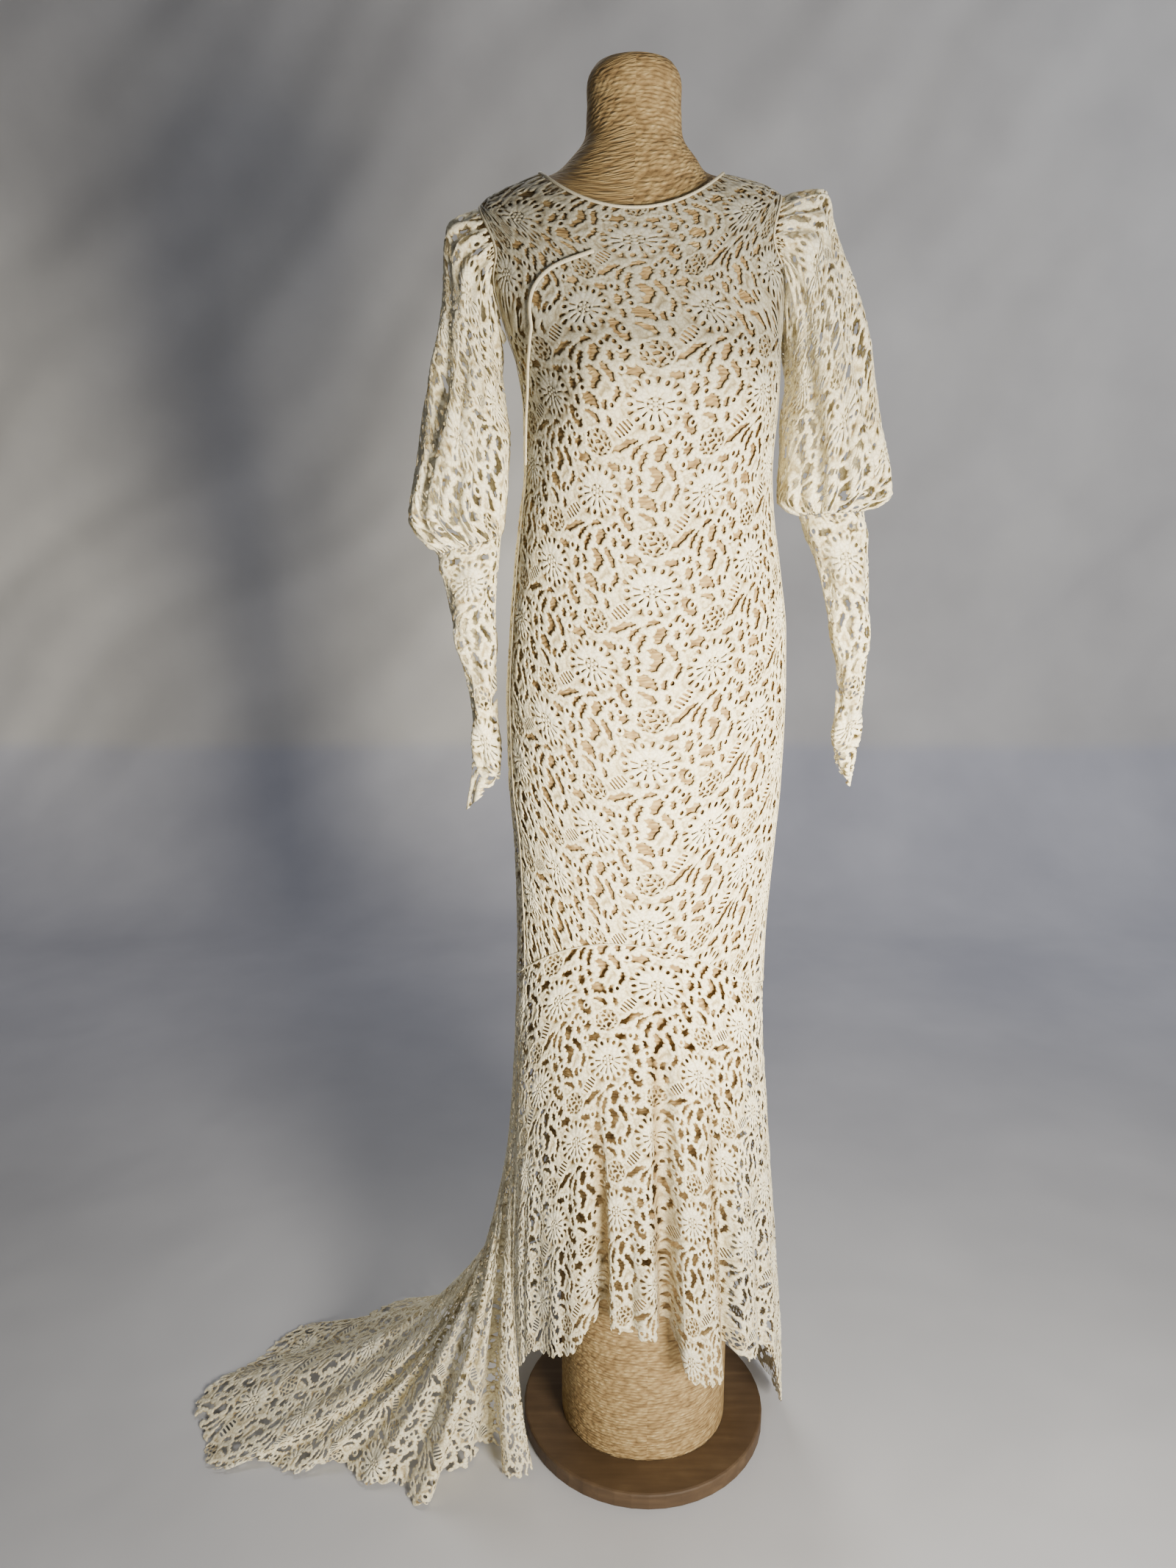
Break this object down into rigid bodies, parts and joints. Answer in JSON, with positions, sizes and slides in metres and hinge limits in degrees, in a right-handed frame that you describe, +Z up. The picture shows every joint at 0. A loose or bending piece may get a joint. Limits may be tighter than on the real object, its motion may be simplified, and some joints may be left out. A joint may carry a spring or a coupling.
{
  "type": "lace wedding dress on dress form",
  "caption": "Fitted floral lace dress with puffed shoulders, long pointed sleeves and a train, on a rope-wound limbless dress form.",
  "frame": {"origin": "centre of the round base's underside, on the floor", "axes": "+Z up, the wearer's front faces -Y, the train is swept towards -X, metres"},
  "size_m": [0.9364, 0.4452, 1.745],
  "materials": {
    "lace": "ivory floral lace, matte",
    "binding": "cream rolled tape",
    "jute": "wound jute rope, rough",
    "base_wood": "dark stained, satin"
  },
  "bodies": {
    "root": {"front_panel": "lace", "back_panel": "lace", "front_flounce": "lace", "train_side": "lace", "train_sweep": "lace", "train_tip": "lace", "train_fall": "lace", "train_back": "lace", "right_puff_front": "lace", "right_puff_back": "lace", "right_cuff_front": "lace", "right_cuff_back": "lace", "left_puff_front": "lace", "left_puff_back": "lace", "left_cuff_front": "lace", "left_cuff_back": "lace", "neck_binding": "binding", "bust_seam": "binding", "form_body": "jute", "form_base": "base_wood"}
  },
  "joints": []
}
